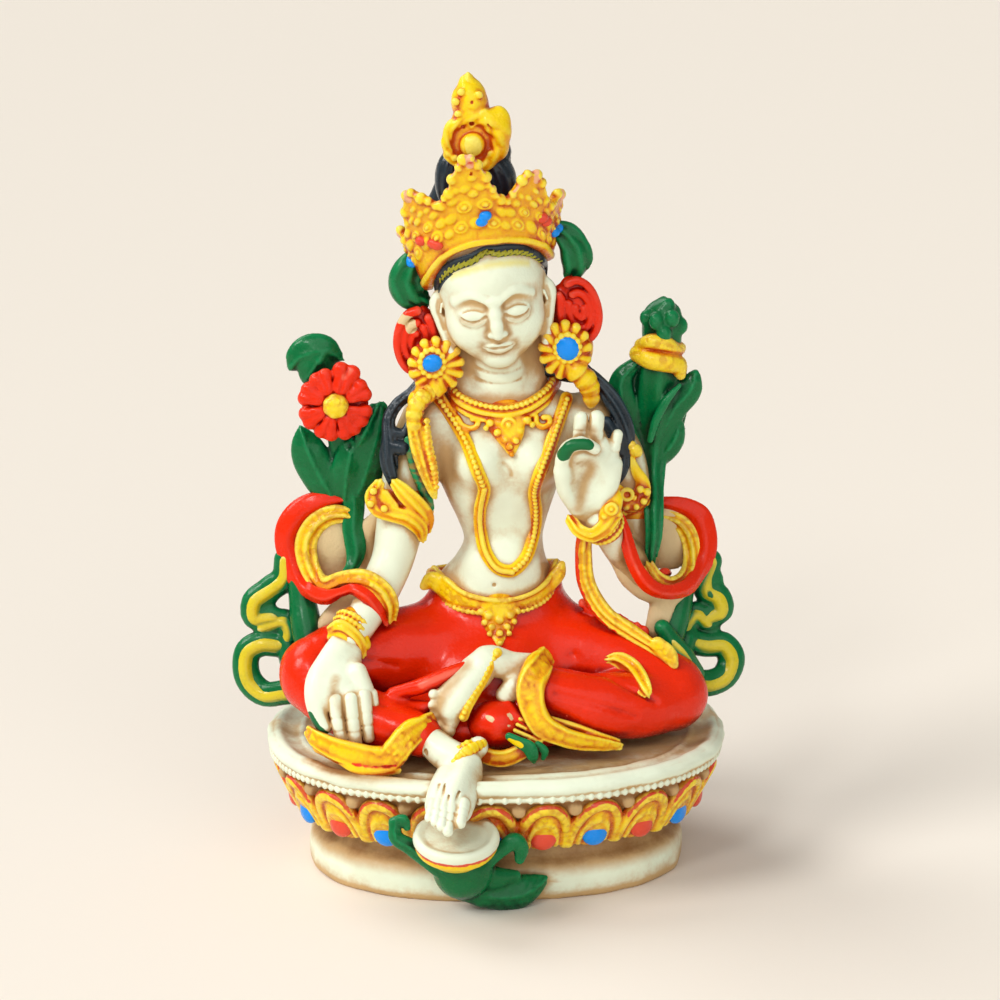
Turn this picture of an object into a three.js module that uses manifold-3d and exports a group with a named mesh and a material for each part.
// A painted cast-resin figure of the goddess Tara, seated on an oval lotus throne.
// The figure and its throne are one casting, so the whole object is one solid.
// Millimetres, +Z up. The figure faces -Y, and the origin is the middle of the flat underside.
import * as THREE from "three";
import Module from "manifold-3d";

const wasm = await Module();
wasm.setup();

// Driving dimensions of the figure and the throne
const figureHeight = 100; // from the seat to the tip of the finial
const throneHeight = 21;
const throneWidth = 69; // across the rim of the seat
const throneDepth = 52;
const lipThickness = 3.4; // the plain rim that overhangs the petals
const dishDepth = 0.7; // how far the seat lies below its rim
const rimWidth = 2.6; // the raised ridge round the seat
const slabHeight = 5.2; // the plain foot of the throne
const slabInset = 6.2; // how far the slab stands back from the rim
const slabBevel = 0.9; // how far the slab's top edge is rounded off
const waistHeight = 4.4; // the hollow between slab and petals
const waistInset = 8.2;
const bandBevel = 0.4; // how far the petals' foot line is rounded off
const petalInset = 1.6; // how far the petals' foot line stands back from the rim at the top
const petalLean = 4.2; // how much further back it stands at the bottom
const petalCount = 22;
const petalRelief = 1;
const petalFill = 0.9; // how much of its own stretch of the band a petal takes up
const petalGap = 1.3; // from the top of a petal up to the plain rim
const jewelRadius = 2.3;
const footLotusRadius = 6.2;
const footLotusThickness = 3.0;
const footLotusDrop = 6.6; // its top, below the seat
const footLotusReach = 1.6; // how far its middle stands out from the rim of the seat
const footLotusDish = 0.25;
const footLotusTilt = THREE.MathUtils.degToRad(12);
const headRoll = THREE.MathUtils.degToRad(7); // towards the figure's right shoulder
const headPitch = THREE.MathUtils.degToRad(5); // forwards

// The figure is laid out in hundredths of its own height, measured from the middle of the seat.
const share = figureHeight / 100;
const seat = new THREE.Vector3(0, 0, throneHeight);
const at = (x, y, z) => new THREE.Vector3(x, y, z).multiplyScalar(share).add(seat);

// The head has its own tilted axes, with their origin between the ears.
const headTurn = new THREE.Euler(headPitch, -headRoll, 0, "XYZ");
const headMiddle = new THREE.Vector3(-0.9, 2.2, 65);
const inHead = (x, y, z) => {
  const local = new THREE.Vector3(x, y, z).applyEuler(headTurn).add(headMiddle);
  return at(local.x, local.y, local.z);
};

const up = new THREE.Vector3(0, 0, 1);
const front = new THREE.Vector3(0, -1, 0);
const side = new THREE.Vector3(1, 0, 0);
const turn = (count, step) => (step / count) * Math.PI * 2;

// One closed solid over rings of equal point counts, each end closed at its own middle point.
function skin(rings, tips = []) {
  const count = rings[0].length;
  const points = rings.flat();
  const faces = [];
  for (let ring = 0; ring + 1 < rings.length; ring++) {
    for (let step = 0; step < count; step++) {
      const near = ring * count + step;
      const next = ring * count + ((step + 1) % count);
      faces.push(near, next, next + count, near, next + count, near + count);
    }
  }
  const middle = (ring) =>
    ring.reduce((sum, p) => sum.add(p), new THREE.Vector3()).divideScalar(count);
  const last = (rings.length - 1) * count;
  points.push(tips[0] || middle(rings[0]), tips[1] || middle(rings[rings.length - 1]));
  for (let step = 0; step < count; step++) {
    const next = (step + 1) % count;
    faces.push(next, step, points.length - 2);
    faces.push(last + step, last + next, points.length - 1);
  }
  return solid(points, faces);
}

function solid(points, faces) {
  const build = (order) => {
    const vertProperties = new Float32Array(points.flatMap((p) => [p.x, p.y, p.z]));
    return new wasm.Manifold(
      new wasm.Mesh({ numProp: 3, vertProperties, triVerts: new Uint32Array(order) }),
    );
  };
  const made = build(faces);
  return made.volume() > 0 ? made : build(faces.slice().reverse());
}

const join = (solids) => solids.reduce((whole, piece) => whole.add(piece));

// A rounded form swept through stations of [x, y, z, radius]. Across its path it is as wide as
// the radius says, and flat times as thick along the direction that it faces.
function limb(stations, { sides = 8, steps = 2, flat = 1, face = front, place = at } = {}) {
  const path = new THREE.CatmullRomCurve3(
    stations.map(([x, y, z]) => place(x, y, z)),
    false,
    "centripetal",
  );
  const last = stations.length - 1;
  const radiusAt = (position) => {
    const station = Math.min(Math.floor(position), last - 1);
    const [from, to] = [stations[station][3], stations[station + 1][3]];
    return share * THREE.MathUtils.lerp(from, to, position - station);
  };
  // A ring that stands ahead of its station by a share of the radius there.
  const ringAt = (position, ahead = 0, size = 1) => {
    const radius = radiusAt(position);
    const tangent = path.getTangent(position / last);
    const centre = path.getPoint(position / last).addScaledVector(tangent, ahead * radius);
    const across = new THREE.Vector3().crossVectors(tangent, face).normalize();
    const facing = new THREE.Vector3().crossVectors(across, tangent).normalize();
    return Array.from({ length: sides }, (_, corner) => {
      const angle = turn(sides, corner);
      return centre
        .clone()
        .addScaledVector(across, size * radius * Math.cos(angle))
        .addScaledVector(facing, size * radius * flat * Math.sin(angle));
    });
  };
  const body = Array.from({ length: last * steps + 1 }, (_, step) => ringAt(step / steps));
  const end = (position, sign) => ringAt(position, 0.55 * sign, 0.75);
  const tip = (position, sign) => ringAt(position, 0.85 * sign, 0)[0];
  return skin([end(0, -1), ...body, end(last, 1)], [tip(0, -1), tip(last, 1)]);
}

// An ellipsoid, with its half sizes in hundredths of the figure's height.
function ball([x, y, z], [width, depth, height], { sides = 10, rows = 6, place = at } = {}) {
  const rings = [];
  for (let row = 1; row < rows; row++) {
    const tilt = (row / rows) * Math.PI;
    rings.push(
      Array.from({ length: sides }, (_, step) => {
        const angle = turn(sides, step);
        return place(
          x + width * Math.sin(tilt) * Math.cos(angle),
          y + depth * Math.sin(tilt) * Math.sin(angle),
          z - height * Math.cos(tilt),
        );
      }),
    );
  }
  return skin(rings, [place(x, y, z - height), place(x, y, z + height)]);
}

// A flat leaf from its foot to its tip, widest at the point between them.
function leaf(foot, middle, tip, width, { thickness = 0.3, face = front, place = at } = {}) {
  const stations = [[...foot, width * 0.45], [...middle, width], [...tip, width * 0.15]];
  return limb(stations, { steps: 3, flat: thickness, face, place });
}

// A stack of ovals, each [height, middle x, middle y, half width, half depth].
function loft(levels, sides) {
  return skin(
    levels.map(([z, x, y, width, depth]) =>
      Array.from({ length: sides }, (_, step) => {
        const angle = turn(sides, step);
        return at(x + width * Math.cos(angle), y + depth * Math.sin(angle), z);
      }),
    ),
  );
}

// The throne

// A point of the throne's oval, a given distance in from its rim. The oval is a little squarer
// than an ellipse.
function onOval(angle, inset, z) {
  const squareness = 2 / 2.25;
  const reach = (value) => Math.sign(value) * Math.abs(value) ** squareness;
  return new THREE.Vector3(
    (throneWidth / 2 - inset) * reach(Math.cos(angle)),
    (throneDepth / 2 - inset) * reach(Math.sin(angle)),
    z,
  );
}

const lipBottom = throneHeight - lipThickness;
const petalBottom = slabHeight + waistHeight;
const petalInsetAt = (z) =>
  petalInset + petalLean * THREE.MathUtils.clamp((lipBottom - z) / (lipBottom - petalBottom), 0, 1);

function throneCore() {
  const ridge = rimWidth / 2;
  const profile = [
    [slabInset + bandBevel, 0],
    [slabInset, slabHeight * 0.7],
    [slabInset + slabBevel, slabHeight],
    [waistInset, petalBottom - 2 * bandBevel],
    [petalInsetAt(petalBottom) + bandBevel, petalBottom],
    [petalInsetAt(lipBottom), lipBottom],
    [0, lipBottom + lipThickness * 0.3],
    [ridge, throneHeight],
    [rimWidth, throneHeight - dishDepth],
  ];
  const sides = 72;
  return skin(
    profile.map(([inset, z]) =>
      Array.from({ length: sides }, (_, step) => onOval(turn(sides, step), inset, z)),
    ),
  );
}

// Angles at even steps of length round the oval, so that every petal is as wide as the next.
function evenAngles(count, inset) {
  const fine = 720;
  const lengths = [0];
  for (let step = 1; step <= fine; step++) {
    const from = onOval(turn(fine, step - 1), inset, 0);
    lengths.push(lengths[step - 1] + from.distanceTo(onOval(turn(fine, step), inset, 0)));
  }
  const total = lengths[fine];
  return {
    pitch: total / count,
    angles: Array.from({ length: count }, (_, index) => {
      const wanted = (total * (index + 0.25)) / count;
      return turn(fine, lengths.findIndex((length) => length >= wanted));
    }),
  };
}

// A scalloped petal: an arch that stands proud of its band, bulging into a jewel at its foot.
function petal(angle, pitch) {
  const top = lipBottom - petalGap;
  const out = (z) => onOval(angle, petalInsetAt(z), z);
  const nearby = 0.01;
  const across = onOval(angle + nearby, 0, 0).sub(onOval(angle - nearby, 0, 0)).normalize();
  const outward = new THREE.Vector3().crossVectors(across, up);
  const corners = 9;
  const arch = Array.from({ length: corners }, (_, corner) => {
    const sweep = Math.PI * (corner / (corners - 1));
    const z = petalBottom + (top - petalBottom) * Math.sin(sweep) ** 0.7;
    return out(z).addScaledVector(across, -petalFill * (pitch / 2) * Math.cos(sweep));
  });
  const lifted = (ring, reach) => ring.map((p) => p.clone().addScaledVector(outward, reach));
  const jewelMiddle = out(petalBottom + jewelRadius * 0.8).addScaledVector(outward, petalRelief);
  const jewel = Array.from({ length: corners }, (_, corner) => {
    const sweep = Math.PI * (corner / (corners - 1));
    return jewelMiddle
      .clone()
      .addScaledVector(across, -jewelRadius * Math.cos(sweep))
      .addScaledVector(up, jewelRadius * (1.6 * Math.sin(sweep) - 0.6));
  });
  return skin(
    [lifted(arch, -petalRelief), lifted(arch, petalRelief), jewel],
    [out((top + petalBottom) / 2).addScaledVector(outward, -petalRelief),
      jewelMiddle.clone().addScaledVector(outward, jewelRadius * 0.5)],
  );
}

function throne() {
  const { pitch, angles } = evenAngles(petalCount, petalInset);
  return [throneCore(), ...angles.map((angle) => petal(angle, pitch))];
}

// The small lotus that carries the lowered foot, on its leaves in front of the throne
const footLotus = new THREE.Vector3(
  -7.2 * share,
  -(throneDepth / 2 + footLotusReach),
  throneHeight - footLotusDrop,
);
const onLotus = (x, y, z) =>
  new THREE.Vector3(x, y, z).applyAxisAngle(side, footLotusTilt).add(footLotus);

function lowFootLotus() {
  const sides = 24;
  const disc = (radius, z) =>
    Array.from({ length: sides }, (_, step) => {
      const angle = turn(sides, step);
      return onLotus(radius * Math.cos(angle), radius * Math.sin(angle), z);
    });
  const radius = footLotusRadius;
  const thick = footLotusThickness;
  const cup = skin([
    disc(radius * 0.35, -thick * 1.9),
    disc(radius * 0.86, -thick),
    disc(radius * 0.97, -thick * 0.8),
    disc(radius, -thick * 0.3),
    disc(radius * 0.94, 0),
    disc(radius * 0.8, -footLotusDish),
  ]);
  const carried = (...shares) => shares.map((part) => part * radius);
  const leaves = [
    [carried(-1.35, 0.3, 0.1, 0.145), carried(-1.3, 0.25, -0.35, 0.19),
      carried(-0.6, 0.3, -0.85, 0.23), carried(0.1, 0.7, -1.3, 0.26), carried(0.8, 1.1, -1.75, 0.27)],
    [carried(0.2, 0.6, -1.5, 0.21), carried(0.7, 0.3, -0.9, 0.19), carried(1.35, 0.5, -0.5, 0.24)],
    [carried(0.4, 0.9, -1.55, 0.35), carried(1.3, 1.15, -1.75, 0.42),
      carried(2.1, 1.2, -1.5, 0.1)],
  ];
  const place = (x, y, z) => new THREE.Vector3(x, y, z).add(footLotus);
  const core = ball([0.2 * radius, 0.7 * radius, -1.2 * radius],
    [0.75 * radius, 0.7 * radius, 0.8 * radius], { place });
  return [cup, core, ...leaves.map((stations) => limb(stations, { sides: 6, flat: 0.7, place }))];
}

// The body

function torso() {
  return [
    loft(
      [
        [4, 0.5, 4.5, 12.5, 9],
        [11, 0.5, 5, 11.5, 8.2],
        [17, 0.4, 5, 10.2, 7.4],
        [21.5, 0.3, 4.6, 9, 6.6],
        [25, 0.9, 4.4, 6.8, 5.4],
        [28, 1.3, 4.4, 5.9, 4.8],
        [31.5, 1.1, 4.2, 6.8, 5.1],
        [36, 0.8, 4, 8.5, 5.8],
        [40.5, 1.1, 3.9, 9.4, 6],
        [44.5, 1.7, 4.3, 11, 5.6],
        [47.8, 2.1, 4.8, 12.2, 4.8],
        [50.2, 1.7, 5, 8.4, 4.3],
        [52, 1, 4.7, 5.3, 4.4],
        [55, 0.6, 4, 4.7, 4.4],
        [60, 0, 3.6, 4.6, 4.4],
      ],
      18,
    ),
    ball([-2.3, -0.5, 40.9], [3.7, 3.3, 3.7]),
    ball([5.5, -0.5, 41.1], [3.7, 3.3, 3.7]),
    ball([0.6, 0.4, 23.4], [5.8, 3.4, 4.6]),
  ];
}

function head() {
  const place = inHead;
  return [
    ball([0.5, 1, 3.6], [7.7, 8.2, 8.6], { sides: 16, rows: 10, place }),
    limb([[0.5, -0.5, 4, 7], [0.5, -0.9, -1, 6.6], [0.5, -1.7, -4.8, 4.3]],
      { sides: 14, flat: 0.95, place }),
    limb([[0.5, -6, 2.6, 0.7], [0.5, -6.9, -1.2, 1.3]], { sides: 6, place }),
    ...[-1, 1].map((hand) =>
      limb([[7.4 * hand, 1.4, 1, 0.9], [8.3 * hand, 1.6, -2, 1.2], [8.1 * hand, 1, -6.5, 1.1]],
        { flat: 0.8, place }),
    ),
  ];
}

const crownLevel = (angle) => 4.6 + 8 * Math.max(0, Math.cos(angle)) ** 1.2;

// The crown is one wall that flares from its band and rises into five peaks.
function crown() {
  const peaks = [
    { turned: 0, height: 12.8 },
    { turned: 46, height: 10.8 },
    { turned: 86, height: 9.8 },
  ];
  const valley = 6.8;
  const halfGap = 19;
  const topAt = (degrees) => {
    const near = peaks.find((peak) => Math.abs(Math.abs(degrees) - peak.turned) <= halfGap);
    if (!near) return valley;
    const away = Math.abs(Math.abs(degrees) - near.turned) / halfGap;
    return valley + (near.height - valley) * (1 - away) ** 1.15;
  };
  const around = (degrees, reach, rise) => {
    const angle = THREE.MathUtils.degToRad(degrees);
    return inHead(reach * 1.08 * Math.sin(angle), 1 - reach * Math.cos(angle),
      crownLevel(angle) + rise);
  };
  const flare = 0.27; // how much further out the wall stands for each step up
  const wall = [];
  const lastAngle = 100;
  const stepAngle = 4;
  for (let degrees = -lastAngle; degrees <= lastAngle; degrees += stepAngle) {
    const top = topAt(degrees);
    const out = (rise, extra) => around(degrees, 8.7 + flare * rise + extra, rise);
    wall.push([
      out(-1.9, -1.6), out(-1.9, 0.3), out(0, 0.9), out(top * 0.4, 0.5), out(top, 0),
      out(top, -0.9), out(top * 0.4, -1.8),
    ]);
  }
  const back = limb(
    [[-9.4, 1, 4.8, 1.5], [-7.4, 7.4, 5.2, 1.5], [0, 10.4, 5.6, 1.5], [7.4, 7.4, 5.2, 1.5],
      [9.4, 1, 4.8, 1.5]],
    { flat: 0.6, place: inHead, face: up },
  );
  const jewels = [0, -46, 46, -82, 82].map((degrees) => {
    const angle = THREE.MathUtils.degToRad(degrees);
    const reach = 10.4;
    return ball(
      [reach * 1.08 * Math.sin(angle), 1 - reach * Math.cos(angle), crownLevel(angle) + 3.4],
      [1.3, 1.3, 1.4], { sides: 6, rows: 4, place: inHead });
  });
  return [skin(wall), back, ...jewels];
}

// The knot of hair above the crown, with a rolled ornament before it and a finial on top.
function topknot() {
  const place = inHead;
  const roll = Array.from({ length: 9 }, (_, step) => {
    const angle = turn(8, step) + 0.6;
    return [0.4 + 3.8 * Math.cos(angle), -2, 25.6 + 3.1 * Math.sin(angle), 1.6];
  });
  return [
    limb([[0.2, 2.2, 7.6, 7.2], [0.2, 2, 11.6, 5.2], [0.3, 1.8, 16.4, 5.6], [0.4, 1.4, 20.4, 4.4],
      [0.5, 0.6, 24, 3.6], [0.5, 0, 28.6, 2.5]], { sides: 12, place }),
    ball([0.4, -0.8, 25.4], [3.6, 1.6, 3.4], { place }),
    limb(roll, { sides: 6, steps: 1, place, face: up.clone().add(side) }),
    ball([0.3, -3, 24.6], [1.9, 1.5, 1.8], { sides: 8, rows: 5, place }),
    ball([0.5, -0.4, 30.6], [3.2, 2.8, 2.4], { sides: 8, rows: 5, place }),
    ball([0.5, -0.4, 32.9], [2, 1.9, 2], { sides: 8, rows: 5, place }),
  ];
}

// Hair behind the head, and the locks that fall over the shoulders.
function hair() {
  const lock = (stations) => limb(stations, { flat: 0.7 });
  return [
    limb([[0, 7, 4, 7.6], [0.4, 7.6, -4, 6.6], [1.2, 8, -11, 7.4], [1.6, 7, -20, 6.6],
      [1.6, 6, -27, 2]], { sides: 12, flat: 0.45, place: inHead }),
    lock([[-5, 7, 52.5, 3], [-10.5, 4.5, 50, 3.2], [-14, 4, 44.5, 3], [-14.4, 3, 38.5, 1.6]]),
    lock([[6, 7, 53, 3], [13.5, 5.5, 50.5, 3.4], [18.2, 4.6, 45, 3.2], [20, 4, 37.5, 2]]),
  ];
}

// Long ribbons, rosettes and earrings beside the head.
function headOrnaments() {
  const place = inHead;
  return [-1, 1].flatMap((hand) => [
    limb([[11 * hand, 3.5, 9, 1.2], [13 * hand, 3, 5, 2.4], [12 * hand, 3.2, 0, 2.4],
      [6 * hand, 4, -2, 2]], { flat: 0.6, place }),
    limb([[6 * hand, 4.2, -1, 2], [12.4 * hand, 3, -2.5, 2.6], [12.4 * hand, 2.6, -6.5, 2.8],
      [7 * hand, 3, -11, 2]], { flat: 0.7, place }),
    ball([10.1 * hand, 0.4, -8.8], [3.6, 3.4, 4], { place }),
    limb([[10.5 * hand, -1, -11.6, 2.2], [11.6 * hand, -1, -15, 1.6]],
      { flat: 0.7, place }),
  ]);
}

function fingers(list) {
  return list.map((stations) => limb(stations, { sides: 6, steps: 1, face: side }));
}

// The right arm, lowered to the knee with its palm turned out.
function rightArm() {
  return [
    limb([[-9.4, 5.4, 47, 4.3], [-12, 4.6, 41, 4], [-13.6, 3.4, 34, 3.7], [-15.4, 1, 26, 3.2],
      [-18.2, -3, 21, 2.9], [-21.9, -7.4, 16.4, 2.3]], { sides: 10, face: side }),
    limb([[-22.3, -8, 16.2, 2.3], [-23.4, -10.8, 12.4, 3.5], [-23, -12.8, 8.4, 3.6],
      [-22.4, -14, 6.2, 3.1]], { flat: 0.5, face: new THREE.Vector3(0, -0.8, 0.6) }),
    ...fingers([
      [[-24.2, -13.6, 6.6, 0.85], [-24.4, -15.6, 3.2, 0.75]],
      [[-22.6, -14, 6.2, 0.9], [-22.5, -16.2, 2.4, 0.8]],
      [[-21, -13.9, 6.4, 0.9], [-20.8, -16, 2.8, 0.8]],
      [[-19.6, -13.4, 7, 0.8], [-18.9, -15.2, 4, 0.7]],
      [[-25.8, -11.4, 10, 1.2], [-27.4, -13.8, 7.4, 1], [-26.6, -15.2, 5.4, 0.8]],
    ]),
  ];
}

// The left arm, bent up at the elbow with the hand before the shoulder.
function leftArm() {
  return [
    limb([[14.3, 5.4, 46.4, 4.3], [18, 5, 41, 4], [20.4, 4.6, 34.8, 3.7], [22.4, 3.4, 27, 3.3],
      [22.6, 1.8, 22.4, 3.2], [20, 0, 26, 2.9], [17.4, -2.4, 29.8, 2.6], [15, -4.4, 33.2, 2.3]],
      { sides: 10, face: side }),
    limb([[15, -4.4, 33.4, 2.3], [14.2, -5.4, 37.6, 3.7], [14, -5.6, 41.4, 3.9],
      [14.2, -5.4, 43.8, 3.3]], { flat: 0.5 }),
    ...fingers([
      [[12.2, -5.8, 42, 1], [10.4, -7, 44.6, 0.9], [11, -8.2, 46.2, 0.8]],
      [[13.2, -5.6, 43.4, 0.95], [13, -5.4, 49, 0.75]],
      [[14.8, -5.4, 43.6, 0.95], [14.8, -5.2, 49.2, 0.75]],
      [[16.4, -5.2, 43, 0.9], [17.6, -4.6, 47.4, 0.7]],
      [[11.2, -6, 38.4, 1.2], [9.6, -7.4, 41.6, 1], [10.6, -8.4, 45, 0.9]],
    ]),
  ];
}

// The crossed legs in their trousers, with the right foot let down to its lotus.
function legs() {
  return [
    limb([[-3.4, 4.6, 12.4, 7.4], [-13, 0.6, 12, 6.6], [-22, -1.8, 11.4, 6.1],
      [-27.2, -4, 10.4, 5.3]], { sides: 12, face: up }),
    limb([[-27.2, -5.6, 9, 4.8], [-23.4, -9.8, 7, 4.6], [-18, -13, 5.2, 4], [-12, -16, 4, 3.2]],
      { sides: 12, face: up }),
    limb([[4.8, 4.6, 12, 7.4], [12, 1.4, 10.8, 6.8], [19.5, -1.4, 8.8, 6.2], [26, -4, 6, 5.4]],
      { sides: 12, face: up }),
    limb([[26, -5, 5.2, 5], [20.5, -8.6, 5.4, 4.9], [14, -11, 6.4, 4.6], [7.2, -11.6, 9, 3.6]],
      { sides: 12, face: up }),
    ball([0, -1, 4.4], [22, 14.4, 6.4], { sides: 16 }),
    limb([[4, -9.5, 6, 3], [1.4, -13, 4.2, 3.2], [-1.4, -15, 2.2, 2]], { face: up }),
  ];
}

function leftFoot() {
  const toes = Array.from({ length: 5 }, (_, toe) => {
    const spread = toe / 4;
    return [
      [-6.4 - 0.4 * spread, -14.2, 9.4 - 3.6 * spread, 0.95],
      [-8.8 - 0.6 * spread, -14.8, 9 - 4.6 * spread, 1.15 - 0.4 * spread],
    ];
  });
  return [
    limb([[4.2, -11.6, 11.2, 3], [0.6, -12.4, 10.8, 3], [-3, -13.4, 9.2, 3.1],
      [-6.2, -14.2, 7.6, 2.8]], { flat: 0.65, face: new THREE.Vector3(-0.3, -0.8, -0.5) }),
    ...fingers(toes),
  ];
}

// The foot hangs from the ankle to the lotus, wherever that stands.
function rightFoot() {
  const ankle = new THREE.Vector3(-6.4, -18.6, 2.6);
  const soleHeight = 3.2 * share;
  const tread = onLotus(-0.1 * footLotusRadius, 0.25 * footLotusRadius, soleHeight)
    .sub(seat)
    .divideScalar(share);
  const middle = ankle.clone().lerp(tread, 0.5).add(new THREE.Vector3(0.2, -0.7, 0.2));
  const toes = Array.from({ length: 5 }, (_, toe) => {
    const across = toe / 2 - 1;
    return [
      [tread.x + 2.2 * across, tread.y - 0.2, tread.z - 0.2, 0.95],
      [tread.x - 0.6 + 1.9 * across, tread.y - 2.2, tread.z - 2.4 + 0.5 * across,
        0.85 - 0.2 * across],
    ];
  });
  return [
    limb([[-12, -16, 3.8, 2.9], [...ankle, 3.1]], { face: up }),
    limb([[-4.6, -17.8, 3.2, 2.7], [...middle, 3.7], [...tread, 3.3]],
      { flat: 0.66, face: new THREE.Vector3(0, -0.9, 0.5) }),
    ...fingers(toes),
  ];
}

// Gold hems at the trouser ends, and the cloth that trails on the seat.
function hems() {
  const hem = (stations) => limb(stations, { flat: 0.45 });
  return [
    hem([[5, -10.4, 14.4, 1.4], [4.6, -14, 12, 1.5], [3.6, -15.4, 8.4, 1.5], [5, -15.8, 5, 1.8],
      [9, -16.2, 2.6, 1.8], [15, -16, 1.4, 1.4], [21, -14.6, 0.8, 0.7]]),
    hem([[-3.6, -15.4, 2.4, 1], [0.6, -17.2, 1, 1.3], [5.6, -17, 1.8, 1.4]]),
    hem([[-9.4, -16.6, 6.6, 1.4], [-9.8, -19, 4.2, 1.7], [-13.4, -19.4, 2.4, 2],
      [-18.6, -18.8, 1, 2], [-23.6, -16, 0.8, 1.6], [-27, -12.4, 1.2, 0.9]]),
    leaf([21.5, -9.8, 10.4], [23.6, -10.2, 9.6], [25.8, -10, 8.2], 1.4, { face: front }),
  ];
}

// Chains, armlets, bracelets, anklets and the belt.
function jewellery() {
  const chain = (stations, radius, options = {}) =>
    limb(stations.map((point) => [...point, radius]), { sides: 6, ...options });
  const cuff = (centre, axis, radius, width) => {
    const end = new THREE.Vector3(...axis).normalize().multiplyScalar(width / 2);
    const from = new THREE.Vector3(...centre).sub(end);
    const to = new THREE.Vector3(...centre).add(end);
    return limb([[...from, radius], [...to, radius]], { sides: 10, steps: 1, face: side });
  };
  return [
    chain([[-6, 4, 52], [-3.8, 0.8, 49.4], [1, -0.8, 47.6], [6, 0.6, 49.8],
      [8, 4, 52.6]], 1),
    leaf([1, -1.2, 48.2], [1.2, -2, 45.8], [1.4, -2, 42.4], 2.2, { thickness: 0.5 }),
    ...[-3.6, 6.6].map((x) => ball([x, 0.2, 46.4], [1.4, 2, 1.3])),
    chain([[-9.2, 2, 49.4], [-5.4, -3.6, 43.2], [-2.6, -3.2, 37.4], [-3, -1.6, 33],
      [-1.9, -1.6, 28], [0.6, -2.4, 24.4], [3.2, -2.6, 24.2], [5, -1.6, 27.2], [6.2, -1.8, 32],
      [6.2, -3.4, 36.6], [8.6, -3.8, 42.4], [10.8, -0.4, 48.6]], 0.62),
    limb([[-10, 3.4, 22.4, 1.6], [-6, -1.4, 20.8, 1.9], [0.4, -3, 19.2, 2.1],
      [7, -1.8, 21, 1.9], [10.8, 3.4, 23.4, 1.6]], { flat: 0.5 }),
    leaf([0.2, -2.8, 20.4], [0.1, -4.4, 17.6], [0, -4.8, 14.2], 2.4, { thickness: 0.55 }),
    cuff([-13.5, 3.4, 34.6], [1.6, 1.2, 7], 4.4, 2),
    leaf([-14.2, -0.2, 35.2], [-14.8, -0.8, 38], [-15.4, -0.6, 40.4], 2, { thickness: 0.5 }),
    cuff([20.6, 4.5, 34.4], [-2.4, 0.4, 6], 4.4, 2),
    leaf([20.8, 0.6, 34.8], [21, 0, 37.8], [21, 0.2, 40.4], 2, { thickness: 0.5 }),
    cuff([-21.2, -6.4, 17.4], [3.7, 4.4, 4.6], 3, 1.2),
    cuff([15.6, -3.8, 32.4], [-2.4, -2, 3.4], 3, 1.2),
    cuff([-9.2, -17.6, 3.2], [1, -0.4, -0.2], 3.6, 1),
    cuff([2.6, -12, 11.6], [-1, -0.3, -0.1], 3.6, 1),
  ];
}

// The scarf: a band that loops out beside each elbow round a flat web, and hangs to the lap.
function scarf() {
  const band = (stations) => limb(stations, { flat: 0.5 });
  return [
    band([[-16, 5.6, 32.4, 2], [-21.6, 6, 32.2, 2.6], [-26, 6, 31.2, 2.9], [-29, 5.4, 28.4, 2.9],
      [-29.2, 4.6, 25, 2.7], [-27, 2.4, 22, 2.4], [-23, -1.4, 22.2, 2.3], [-19.4, -4.6, 23.8, 2.1],
      [-16.4, -6, 22.4, 2], [-13.6, -3.4, 19.4, 1.8]]),
    ball([-23.6, 6.6, 26], [5.8, 2, 6], { sides: 14 }),
    band([[13.4, -0.6, 36, 1.6], [17.4, -3.6, 35, 2], [20, -4.8, 30.2, 2.2],
      [22, -4.8, 25.4, 2.3], [24.8, -3, 21.8, 2.4], [28, 0, 21.4, 2.4], [30.4, 3, 23.6, 2.5],
      [31, 5, 27, 2.6], [29.4, 6, 30.6, 2.5], [25.6, 6.4, 32.8, 2.2], [22, 6, 32.6, 1.8]]),
    ball([26.4, 6.6, 26.6], [4.8, 2, 5.2], { sides: 14 }),
    band([[13.2, -2.4, 31.8, 1.2], [12.6, -2.2, 26.4, 1.5], [14, -2.6, 20.8, 1.6],
      [17.8, -3.6, 17, 1.6], [22.2, -5, 14.2, 1.3], [24.8, -6, 12.2, 0.8]]),
    band([[22.6, -1, 20.4, 2.2], [20.6, -2.6, 16.8, 2.6], [19, -4, 14, 1.6]]),
    band([[-14.6, -4, 21, 2], [-13, -3, 17.6, 2.2], [-10.4, -2.6, 15.6, 1]]),
  ];
}

// The flower that opens beside each shoulder, on its stem with leaves.
function openFlower() {
  const [x, y, z] = [-23.6, 4.2, 49.3];
  const petals = 8;
  return [
    ...Array.from({ length: petals }, (_, step) => {
      const angle = turn(petals, step + 0.5);
      const reach = (distance) => [x + distance * Math.cos(angle), y + 0.4,
        z + distance * Math.sin(angle)];
      return limb([[...reach(1.6), 1.5], [...reach(4), 1.75]], { sides: 6, steps: 1, flat: 0.6 });
    }),
    ball([x, y, z], [2.2, 1.9, 2.2]),
    limb([[-24, 6.4, 51, 3.4], [-26.2, 6.4, 56, 3.2]], { flat: 0.5 }),
    limb([[-17.6, 1.6, 17.4, 1.6], [-18.4, 5, 24, 1.5], [-20.4, 7, 31, 1.6], [-22, 7.4, 40, 2.6],
      [-23.4, 7, 47, 2.6]], { flat: 0.7 }),
    leaf([-20, 7, 31.5], [-25.4, 7, 38.5], [-28.6, 6.8, 43.4], 3, { thickness: 0.45 }),
    leaf([-18.8, 6.6, 31], [-18.2, 6.2, 40], [-16.4, 5.6, 47], 3.2, { thickness: 0.45 }),
    limb([[-14.6, 4, 45, 2.6], [-13.2, 2.6, 38.6, 2.4], [-12.2, 1.6, 36, 1.2]],
      { flat: 0.6 }),
  ];
}

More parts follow.
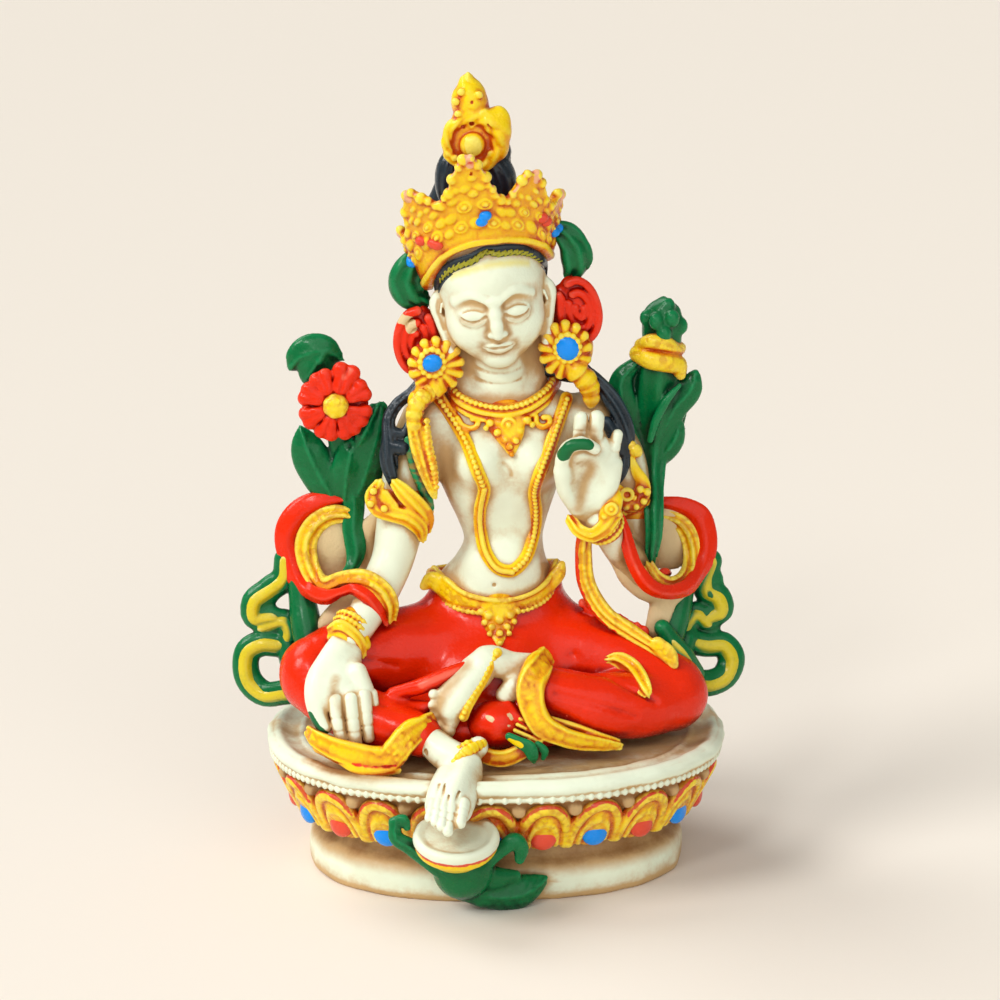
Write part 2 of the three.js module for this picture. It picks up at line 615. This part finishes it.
function budFlower() {
  return [
    limb([[23.4, 3.4, 19, 1.6], [23.8, 6.6, 27, 1.6], [24.4, 7.4, 36, 2.6], [25, 7.2, 46, 3.6],
      [25, 6.8, 52, 3]], { flat: 0.7 }),
    ball([25, 6.6, 54.8], [3.9, 2.6, 2.3]),
    limb([[25, 6.8, 57, 2.4], [25, 6.8, 60.4, 2.7], [25, 6.8, 62.8, 1.4]],
      { flat: 0.8 }),
    leaf([23.6, 7.4, 36], [21, 7, 44.6], [18.4, 6.6, 49.4], 2.9, { thickness: 0.45 }),
    leaf([25.6, 7.4, 36], [28.4, 7, 45], [29.6, 6.6, 50.6], 2.7, { thickness: 0.45 }),
  ];
}

// Cloud scrolls in which the scarf ends curl on both sides of the knees.
function scrolls() {
  const curl = (stations) => limb(stations, { sides: 8, steps: 3, flat: 0.8 });
  return [
    curl([[-30.6, 5, 25.6, 1.2], [-32.6, 5, 21.5, 1.6], [-35.4, 5, 18.2, 1.8],
      [-34.6, 5, 15.2, 1.8], [-31.6, 4.6, 13.6, 1.7], [-32.6, 4.6, 11.2, 1.7],
      [-36, 4.6, 10.6, 1.9], [-38, 4.4, 7.4, 1.9], [-36.8, 3.6, 4.2, 1.9], [-33.6, 2.6, 3.4, 1.9],
      [-30, 0.6, 4.8, 1.9]]),
    limb([[-31.4, 4, 11.8, 1.7], [-30.6, 2.6, 8.4, 2], [-29, 0, 5, 2.4]]),
    limb([[-29.6, 4.6, 22, 1.6], [-28.6, 3.6, 17.6, 2.4], [-28, 1, 13, 2.4]]),
    curl([[31.6, 5, 24, 1.2], [32.4, 5, 20.1, 1.6], [34.2, 5, 17.2, 1.8], [33, 4.8, 14.4, 1.8],
      [29.6, 4.4, 13.8, 1.7], [29.4, 4.2, 11.4, 1.7], [32, 4.4, 10, 1.7], [35, 4.4, 9.6, 1.9],
      [36.6, 4.2, 7, 1.9], [35.2, 3.4, 4.2, 1.9], [32, 2.4, 3.4, 1.9], [28.4, 0.8, 5, 1.9]]),
    limb([[29, 3.6, 11.6, 1.7], [28, 2, 8.6, 2], [27.6, 0.4, 5.4, 2.2]]),
    limb([[29, 4.4, 20.4, 1.6], [27.4, 3.4, 16.6, 2.4], [25.6, 1.4, 12, 2.4]]),
  ];
}

// Thinning: a closed mesh loses the edges that say least about its form, one by one, until it
// has no more triangles than asked for. What rests on the ground stays flat on it.

// How far a point lies from the planes of the triangles that met at a corner, as the ten
// numbers of a symmetric matrix.
function planeError(normal, offset, weight) {
  const { x, y, z } = normal;
  return [x * x, x * y, x * z, x * offset, y * y, y * z, y * offset, z * z, z * offset,
    offset * offset].map((value) => value * weight);
}

function errorAt(q, { x, y, z }) {
  return q[0] * x * x + 2 * q[1] * x * y + 2 * q[2] * x * z + 2 * q[3] * x + q[4] * y * y +
    2 * q[5] * y * z + 2 * q[6] * y + q[7] * z * z + 2 * q[8] * z + q[9];
}

function thinned(body, most) {
  const { vertProperties, triVerts } = body.getMesh();
  const points = Array.from({ length: vertProperties.length / 3 }, (_, index) =>
    new THREE.Vector3().fromArray(vertProperties, index * 3));
  let faces = Array.from({ length: triVerts.length / 3 }, (_, index) =>
    Array.from(triVerts.subarray(index * 3, index * 3 + 3)));
  const errors = points.map(() => new Array(10).fill(0));
  const addTo = (total, extra) => extra.forEach((value, index) => (total[index] += value));
  for (const [a, b, c] of faces) {
    const triangle = new THREE.Triangle(points[a], points[b], points[c]);
    const normal = triangle.getNormal(new THREE.Vector3());
    const error = planeError(normal, -normal.dot(points[a]), triangle.getArea());
    [a, b, c].forEach((corner) => addTo(errors[corner], error));
  }
  const rests = (index) => Math.abs(points[index].z) < 1e-4;
  const best = (a, b) => {
    const total = errors[a].map((value, index) => value + errors[b][index]);
    const places = [points[a], points[b], points[a].clone().lerp(points[b], 0.5)];
    const costs = places.map((place) => errorAt(total, place));
    const least = costs.indexOf(Math.min(...costs));
    const length = points[a].distanceTo(points[b]);
    return { a, b, total, place: places[least], cost: costs[least] + 1e-4 * length };
  };
  const shareOfPass = 0.12;
  while (faces.length > most) {
    const around = points.map(() => []);
    faces.forEach((face) => face.forEach((corner) => around[corner].push(face)));
    const edges = [];
    faces.forEach((face) => face.forEach((a, index) => {
      const b = face[(index + 1) % 3];
      if (a < b && rests(a) === rests(b)) edges.push(best(a, b));
    }));
    edges.sort((one, other) => one.cost - other.cost);
    const touched = new Set();
    let left = Math.min((faces.length - most) / 2, faces.length * shareOfPass);
    for (const { a, b, total, place } of edges) {
      if (left <= 0) break;
      const near = [...new Set([...around[a], ...around[b]])];
      const corners = new Set(near.flat());
      if ([...corners].some((corner) => touched.has(corner))) continue;
      const reachA = new Set(around[a].flat());
      const shared = [...new Set(around[b].flat())].filter((corner) => reachA.has(corner));
      if (shared.length !== 4) continue;
      const kept = near.filter((face) => !(face.includes(a) && face.includes(b)));
      const turned = kept.some((face) => {
        const before = face.map((corner) => points[corner]);
        const after = face.map((corner) => (corner === a || corner === b ? place : points[corner]));
        const was = new THREE.Triangle(...before).getNormal(new THREE.Vector3());
        const triangle = new THREE.Triangle(...after);
        const now = triangle.getNormal(new THREE.Vector3());
        return triangle.getArea() < 1e-3 || was.dot(now) < 0.3;
      });
      if (turned) continue;
      corners.forEach((corner) => touched.add(corner));
      points[a] = place.clone();
      errors[a] = total;
      kept.forEach((face) => face.forEach((corner, index) => {
        if (corner === b) face[index] = a;
      }));
      near.filter((face) => !kept.includes(face)).forEach((face) => face.fill(-1));
      left -= 1;
    }
    const before = faces.length;
    faces = faces.filter((face) => face[0] >= 0);
    if (faces.length === before) break;
  }
  const used = [...new Set(faces.flat())];
  const order = new Map(used.map((corner, index) => [corner, index]));
  return solid(used.map((corner) => points[corner]),
    faces.flat().map((corner) => order.get(corner)));
}

const mostTriangles = 9800;

const casting = thinned(join([
  ...throne(),
  ...lowFootLotus(),
  ...torso(),
  ...head(),
  ...crown(),
  ...topknot(),
  ...hair(),
  ...headOrnaments(),
  ...rightArm(),
  ...leftArm(),
  ...legs(),
  ...leftFoot(),
  ...rightFoot(),
  ...hems(),
  ...jewellery(),
  ...scarf(),
  ...openFlower(),
  ...budFlower(),
  ...scrolls(),
]), mostTriangles);

function meshOf(body, name, finish) {
  const { vertProperties, triVerts } = body.getMesh();
  const geometry = new THREE.BufferGeometry();
  geometry.setAttribute("position", new THREE.BufferAttribute(vertProperties, 3));
  geometry.setIndex(new THREE.BufferAttribute(triVerts, 1));
  const mesh = new THREE.Mesh(geometry, new THREE.MeshStandardMaterial(finish));
  mesh.name = name;
  return mesh;
}

const object = new THREE.Group();
object.add(meshOf(casting, "tara_figure", { color: 0xe9dfc6, roughness: 0.45, metalness: 0 }));

export default object;
